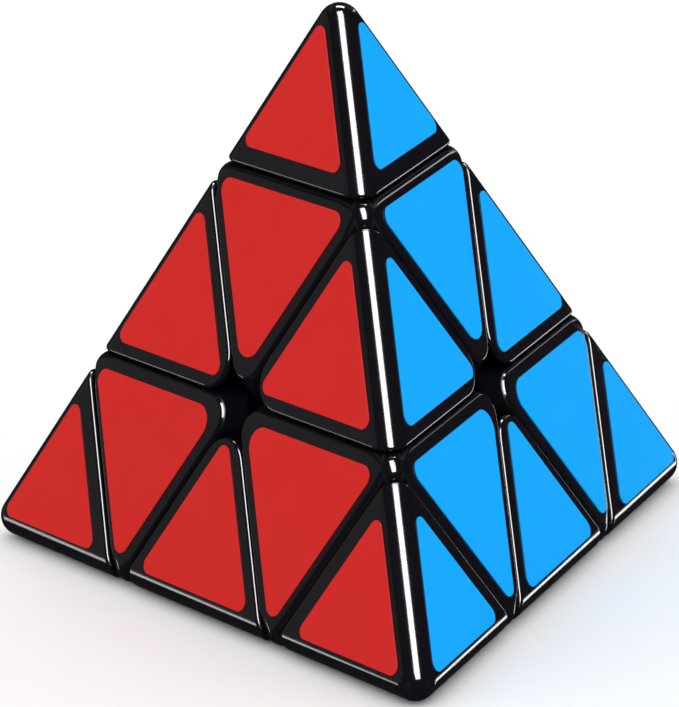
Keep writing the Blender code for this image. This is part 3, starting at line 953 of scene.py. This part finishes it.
CAMERA_PLACE = Vector((-0.0822, -0.7422, 0.2412))
CAMERA_AHEAD = Vector((0.10244, 0.94960, -0.29624))
CAMERA_ROLL = math.radians(2.74)
CAMERA_LENS = 291.8
CAMERA_SENSOR = 36.0
CAMERA_REACH = 20.0
FLOOR_CLEARANCE = 0.02 * MM
FLOOR_HALF_WIDTH = 6.0
WORLD_STRENGTH = 1.12
MIRRORED_WORLD = 0.02
SOFTBOX_DISTANCE = 1.5
# Azimuth, elevation, width and height in degrees, brightness, and lean in degrees.
SOFTBOXES = {
    "front_softbox": (8, 50, 26, 68, 20, 0),
    "overhead_softbox": (163, 62, 26, 12, 20, 0),
    "right_strip": (134, 21, 5, 26, 3, 50),
    "right_low_strip": (127, -15, 5, 26, 7, -25),
    "left_low_strip": (-115, -16, 5, 16, 5, 20),
    "left_panel": (-111, 12, 60, 50, 0.12, 0),
}


def put_camera():
    """A long lens that looks a little down on the front edge, tilted by the camera's roll."""
    data = bpy.data.cameras.new("studio_camera")
    data.lens = CAMERA_LENS
    data.sensor_width = CAMERA_SENSOR
    data.clip_end = CAMERA_REACH
    camera = bpy.data.objects.new("studio_camera", data)
    bpy.context.scene.collection.objects.link(camera)
    ahead = CAMERA_AHEAD.normalized()
    level = ahead.cross(Vector((0, 0, 1))).normalized()
    upright = level.cross(ahead)
    up = math.cos(CAMERA_ROLL) * upright + math.sin(CAMERA_ROLL) * level
    right = ahead.cross(up)
    camera.matrix_world = Matrix.Translation(CAMERA_PLACE) @ Matrix((right, up, -ahead)).transposed().to_4x4()
    bpy.context.scene.camera = camera


def put_floor():
    """A pale matt floor that the pyramid stands on."""
    shape = bmesh.new()
    level = -STICKER_TOP * MM - FLOOR_CLEARANCE
    corners = []
    for x, y in ((-1, -1), (1, -1), (1, 1), (-1, 1)):
        corners.append(shape.verts.new((x * FLOOR_HALF_WIDTH, y * FLOOR_HALF_WIDTH, level)))
    shape.faces.new(corners)
    floor = made_object("studio_floor", shape)
    material, tree = new_material("pale_painted_floor")
    surface = mottled_skin(tree, mottling(tree, 60.0), hex_colour("#F7F7F7"), 0.004, (0.9, 0.9))
    finish_surface(tree, surface | {"Specular IOR Level": 0.1})
    floor.data.materials.append(material)
    floor.visible_glossy = False


def put_world():
    """Soft white light from all round, which polished surfaces mirror only faintly."""
    world = bpy.data.worlds.new("studio_world")
    bpy.context.scene.world = world
    world.use_nodes = True
    tree = world.node_tree
    tree.nodes.clear()
    white = (1, 1, 1, 1)
    path = add_node(tree, "LightPath")
    lit = add_node(tree, "Background", {"Color": white, "Strength": WORLD_STRENGTH})
    mirrored = add_node(tree, "Background", {"Color": white, "Strength": MIRRORED_WORLD})
    inputs = {"Fac": path.outputs["Is Glossy Ray"]}
    inputs |= {1: lit.outputs["Background"], 2: mirrored.outputs["Background"]}
    mixed = add_node(tree, "MixShader", inputs)
    add_node(tree, "OutputWorld", {"Surface": mixed.outputs["Shader"]})


def direction(azimuth, elevation):
    """Direction at these degrees round from -Y towards +X, and up from the floor."""
    turn, rise = math.radians(azimuth), math.radians(elevation)
    return Vector((math.sin(turn) * math.cos(rise), -math.cos(turn) * math.cos(rise), math.sin(rise)))


def put_softbox(name, azimuth, elevation, wide, tall, brightness, lean):
    """A rectangular light that polished surfaces mirror: its place, size and lean are in degrees."""
    data = bpy.data.lights.new(name, "AREA")
    data.shape = "RECTANGLE"
    data.size = 2 * SOFTBOX_DISTANCE * math.tan(math.radians(wide / 2))
    data.size_y = 2 * SOFTBOX_DISTANCE * math.tan(math.radians(tall / 2))
    data.energy = brightness * data.size * data.size_y * math.pi
    light = bpy.data.objects.new(name, data)
    light.visible_diffuse = False
    light.visible_camera = False
    bpy.context.scene.collection.objects.link(light)
    towards = direction(azimuth, elevation)
    light.location = towards * SOFTBOX_DISTANCE
    turn = towards.to_track_quat("Z", "Y").to_matrix() @ Matrix.Rotation(math.radians(lean), 3, "Z")
    light.rotation_euler = turn.to_euler()


# Operators: one for each kind of piece, and one for the studio.


class PUZZLE_OT_tips(bpy.types.Operator):
    """Build the four tips"""

    bl_idname = "puzzle.tips"
    bl_label = "Tips"
    bl_options = {"REGISTER"}

    def execute(self, context):
        plastic = material_named("polished_black_abs", context.scene.puzzle_colours)
        seat_on_corners(tip_pattern(context.scene.puzzle_sizes), "tip", plastic)
        return {"FINISHED"}


class PUZZLE_OT_axials(bpy.types.Operator):
    """Build the four axial pieces under the tips"""

    bl_idname = "puzzle.axials"
    bl_label = "Axial pieces"
    bl_options = {"REGISTER"}

    def execute(self, context):
        plastic = material_named("polished_black_abs", context.scene.puzzle_colours)
        seat_on_corners(axial_pattern(context.scene.puzzle_sizes), "axial", plastic)
        return {"FINISHED"}


class PUZZLE_OT_edges(bpy.types.Operator):
    """Build the six edge pieces with their feet"""

    bl_idname = "puzzle.edges"
    bl_label = "Edge pieces"
    bl_options = {"REGISTER"}

    def execute(self, context):
        plastic = material_named("polished_black_abs", context.scene.puzzle_colours)
        pattern = edge_pattern(context.scene.puzzle_sizes)
        for first, second in EDGES:
            name = f"edge_{first}_{second}"
            body = f"edge_unit_{first}_{second}"
            turn = seat_rotation(first, second)
            seat_copy(pattern, f"{name}_moulding", turn, body, plastic, name)
        bpy.data.objects.remove(pattern)
        return {"FINISHED"}


class PUZZLE_OT_core(bpy.types.Operator):
    """Build the core with its four arms"""

    bl_idname = "puzzle.core"
    bl_label = "Core"
    bl_options = {"REGISTER"}

    def execute(self, context):
        pattern = core_pattern()
        nylon = material_named("moulded_nylon", context.scene.puzzle_colours)
        seat_copy(pattern, "core_moulding", Matrix.Identity(3), "core_unit", nylon, "core")
        bpy.data.objects.remove(pattern)
        return {"FINISHED"}


class PUZZLE_OT_screws(bpy.types.Operator):
    """Build the four screws with their washers"""

    bl_idname = "puzzle.screws"
    bl_label = "Screws"
    bl_options = {"REGISTER"}

    def execute(self, context):
        steel = material_named("zinc_plated_steel", context.scene.puzzle_colours)
        seat_on_corners(screw_pattern(), "screw", steel, on_core=True)
        return {"FINISHED"}


class PUZZLE_OT_springs(bpy.types.Operator):
    """Build the four springs under the screws' heads"""

    bl_idname = "puzzle.springs"
    bl_label = "Springs"
    bl_options = {"REGISTER"}

    def execute(self, context):
        steel = material_named("drawn_spring_steel", context.scene.puzzle_colours)
        seat_on_corners(spring_pattern(), "spring", steel, on_core=True)
        return {"FINISHED"}


class PUZZLE_OT_stickers(bpy.types.Operator):
    """Put a sticker on every triangle"""

    bl_idname = "puzzle.stickers"
    bl_label = "Stickers"
    bl_options = {"REGISTER"}

    def execute(self, context):
        colours = context.scene.puzzle_colours
        corners = [(corner, seat_rotation(corner)) for corner in AXIS]
        edges = [(f"{first}_{second}", seat_rotation(first, second)) for first, second in EDGES]
        seat_stickers(colours, "tip", corners, LOWER_CORNERS, tip_sticker)
        seat_stickers(colours, "axial", corners, LOWER_CORNERS, axial_sticker)
        seat_stickers(colours, "edge", edges, ("right", "left"), edge_sticker)
        return {"FINISHED"}


class PUZZLE_OT_studio(bpy.types.Operator):
    """Put the floor, the lights and the camera round the puzzle"""

    bl_idname = "puzzle.studio"
    bl_label = "Studio"
    bl_options = {"REGISTER"}

    def execute(self, context):
        put_camera()
        put_floor()
        put_world()
        for name, setting in SOFTBOXES.items():
            put_softbox(name, *setting)
        bpy.context.scene.view_settings.view_transform = "Standard"
        return {"FINISHED"}


BUILD_ORDER = (
    PUZZLE_OT_tips,
    PUZZLE_OT_axials,
    PUZZLE_OT_edges,
    PUZZLE_OT_core,
    PUZZLE_OT_screws,
    PUZZLE_OT_springs,
    PUZZLE_OT_stickers,
    PUZZLE_OT_studio,
)


class PUZZLE_PT_panel(bpy.types.Panel):
    """Lists the puzzle's sizes, colours and build steps"""

    bl_label = "Pyramid Twisty Puzzle"
    bl_idname = "PUZZLE_PT_panel"
    bl_space_type = "VIEW_3D"
    bl_region_type = "UI"
    bl_category = "Puzzle"

    def draw(self, context):
        for group in (context.scene.puzzle_sizes, context.scene.puzzle_colours):
            for name in group.bl_rna.properties.keys():
                if name not in ("rna_type", "name"):
                    self.layout.prop(group, name)
        for operator in BUILD_ORDER:
            self.layout.operator(operator.bl_idname)


CLASSES = (PuzzleSizes, PuzzleColours, *BUILD_ORDER, PUZZLE_PT_panel)


def register():
    for each in CLASSES:
        bpy.utils.register_class(each)
    bpy.types.Scene.puzzle_sizes = bpy.props.PointerProperty(type=PuzzleSizes)
    bpy.types.Scene.puzzle_colours = bpy.props.PointerProperty(type=PuzzleColours)


def unregister():
    del bpy.types.Scene.puzzle_colours
    del bpy.types.Scene.puzzle_sizes
    for each in reversed(CLASSES):
        bpy.utils.unregister_class(each)


def main():
    register()
    for operator in BUILD_ORDER:
        category, name = operator.bl_idname.split(".")
        getattr(getattr(bpy.ops, category), name)()


if __name__ == "__main__":
    main()
